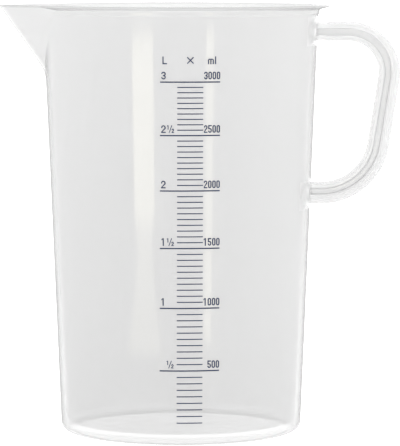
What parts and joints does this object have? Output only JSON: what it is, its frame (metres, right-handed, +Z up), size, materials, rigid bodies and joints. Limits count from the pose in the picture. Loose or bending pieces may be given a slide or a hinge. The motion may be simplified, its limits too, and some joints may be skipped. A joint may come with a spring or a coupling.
{
  "type": "measuring jug",
  "caption": "Tapered milky plastic measuring jug with a flared rim, V pouring spout, ribbed loop handle and a printed volume scale on its side",
  "frame": {"origin": "on the jug's axis, on the plane of the table it stands on", "axes": "+Z up, +X from the axis to the handle, -X to the spout, -Y to the printed scale"},
  "size_m": [0.2288, 0.17, 0.241],
  "materials": {
    "milky_plastic": "milky translucent natural polypropylene, satin",
    "blue_ink": "flat dark blue printed ink"
  },
  "bodies": {
    "root": {"side_wall": "milky_plastic", "base_floor": "milky_plastic", "foot_ring": "milky_plastic", "rim_flange": "milky_plastic", "pouring_spout": "milky_plastic", "spout_lip": "milky_plastic", "upper_handle_root": "milky_plastic", "lower_handle_root": "milky_plastic", "handle_outer_flange": "milky_plastic", "handle_inner_flange": "milky_plastic", "handle_web": "milky_plastic", "half_litre_lines": "blue_ink", "fifty_ml_lines": "blue_ink", "litre_numerals": "blue_ink", "millilitre_numerals": "blue_ink", "unit_symbols": "blue_ink"}
  },
  "joints": []
}
